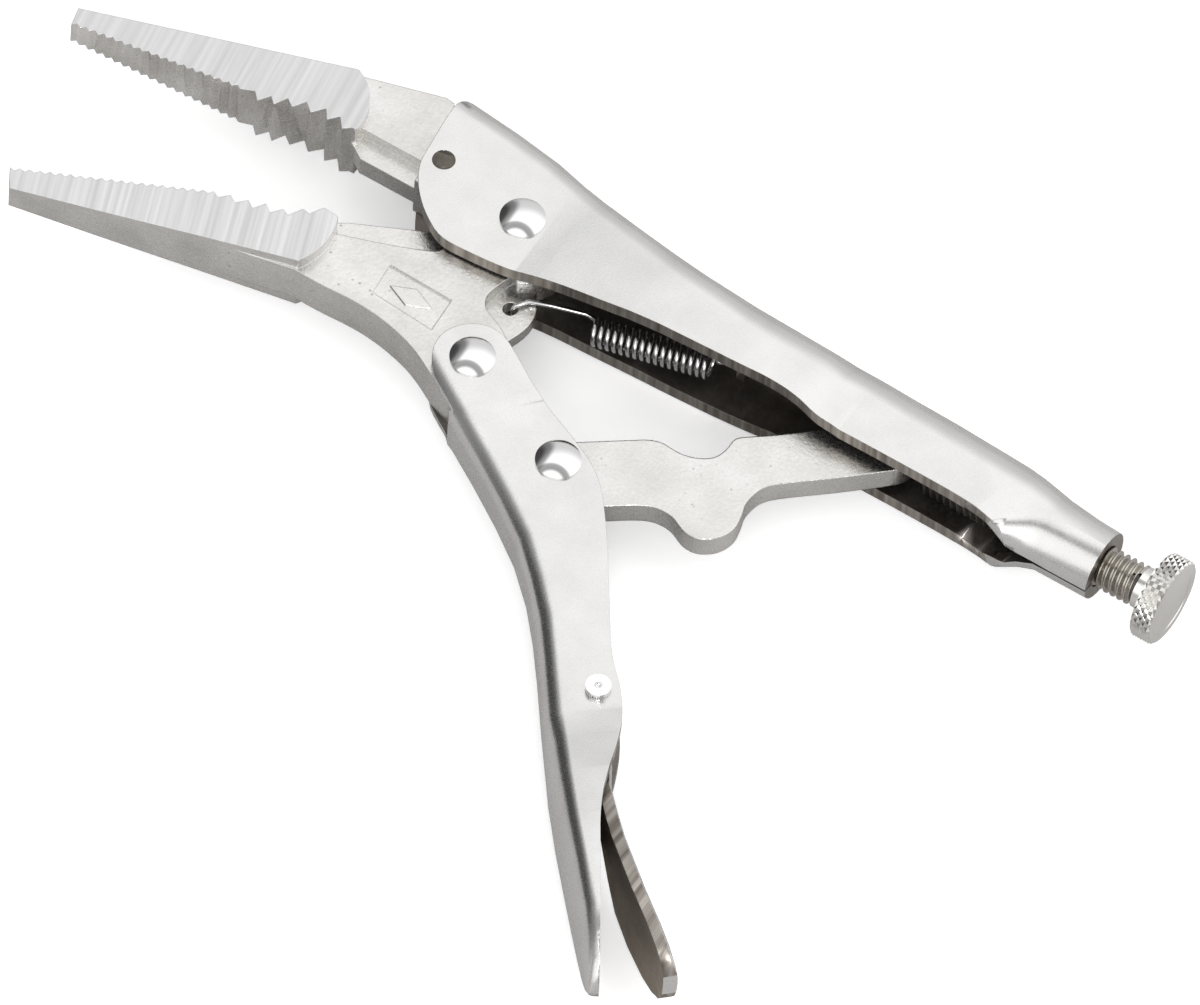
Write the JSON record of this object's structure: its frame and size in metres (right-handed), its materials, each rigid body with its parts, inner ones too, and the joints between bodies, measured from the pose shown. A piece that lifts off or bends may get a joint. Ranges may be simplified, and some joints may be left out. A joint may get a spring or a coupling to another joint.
{
  "type": "locking pliers",
  "caption": "Locking pliers with straight toothed jaws, sheet-metal handles, toggle link, release lever and knurled adjusting screw.",
  "frame": {"origin": "middle of the tool's plan box, at the level of the widest point of the far cheek", "axes": "+X along the upper handle from the jaws to the adjusting knob, +Y from the lower handle to the upper handle, +Z across the tool out of the near cheek, along all the pivots"},
  "size_m": [0.165, 0.1056, 0.0146],
  "materials": {
    "nickel_plate": "satin nickel plate",
    "forged_steel": "plated, ground side faces",
    "dark_pin": "dark rough end",
    "polished_rivet": "polished",
    "link_steel": "plated stamping",
    "screw_steel": "bright plated",
    "spring_steel": "bright wire"
  },
  "bodies": {
    "upper_handle": {"upper_handle": "nickel_plate", "upper_jaw": "forged_steel", "upper_jaw_pin": "dark_pin", "pivot_rivet": "polished_rivet", "tension_spring": "spring_steel"},
    "lower_jaw": {"lower_jaw": "forged_steel"},
    "lower_handle": {"lower_handle": "nickel_plate", "lower_jaw_rivet": "polished_rivet", "link_rivet": "polished_rivet", "release_rivet": "polished_rivet"},
    "toggle_link": {"toggle_link": "link_steel"},
    "release_lever": {"release_lever": "nickel_plate"},
    "adjusting_screw": {"adjusting_screw": "screw_steel"},
    "adjusting_knob": {"adjusting_knob": "screw_steel"}
  },
  "joints": [
    {"name": "main_pivot", "type": "hinge", "parent": "upper_handle", "child": "lower_jaw", "pos_m": [-0.0163, 0.03976, 0.0073], "axis": [0, 0, 1], "range_deg": [-20.4, 0], "deforming": ["tension_spring"]},
    {"name": "grip", "type": "hinge", "parent": "lower_jaw", "child": "lower_handle", "pos_m": [-0.0103, 0.01836, 0.0073], "axis": [0, 0, 1], "range_deg": [0, 62.5]},
    {"name": "link_pivot", "type": "hinge", "parent": "lower_handle", "child": "toggle_link", "pos_m": [0.0072, 0.01116, 0.0073], "axis": [0, 0, 1], "range_deg": [-62.4, 0]},
    {"name": "release", "type": "hinge", "parent": "lower_handle", "child": "release_lever", "pos_m": [0.03012, -0.01562, 0.0073], "axis": [0, 0, 1], "range_deg": [-3, 3]},
    {"name": "screw_feed", "type": "slide", "parent": "upper_handle", "child": "adjusting_screw", "axis": [1, 0, 0], "range_m": [0, 0.01]},
    {"name": "knob_turn", "type": "hinge", "parent": "adjusting_screw", "child": "adjusting_knob", "pos_m": [0.08, 0.03896, 0.0073], "axis": [1, 0, 0], "range_deg": [0, 3600]}
  ],
  "couplings": [
    {"joint": "main_pivot", "follows": "grip", "ratio": -0.3248},
    {"joint": "link_pivot", "follows": "grip", "ratio": -0.9968},
    {"joint": "knob_turn", "follows": "screw_feed", "rad_per_m": 6283.2}
  ]
}
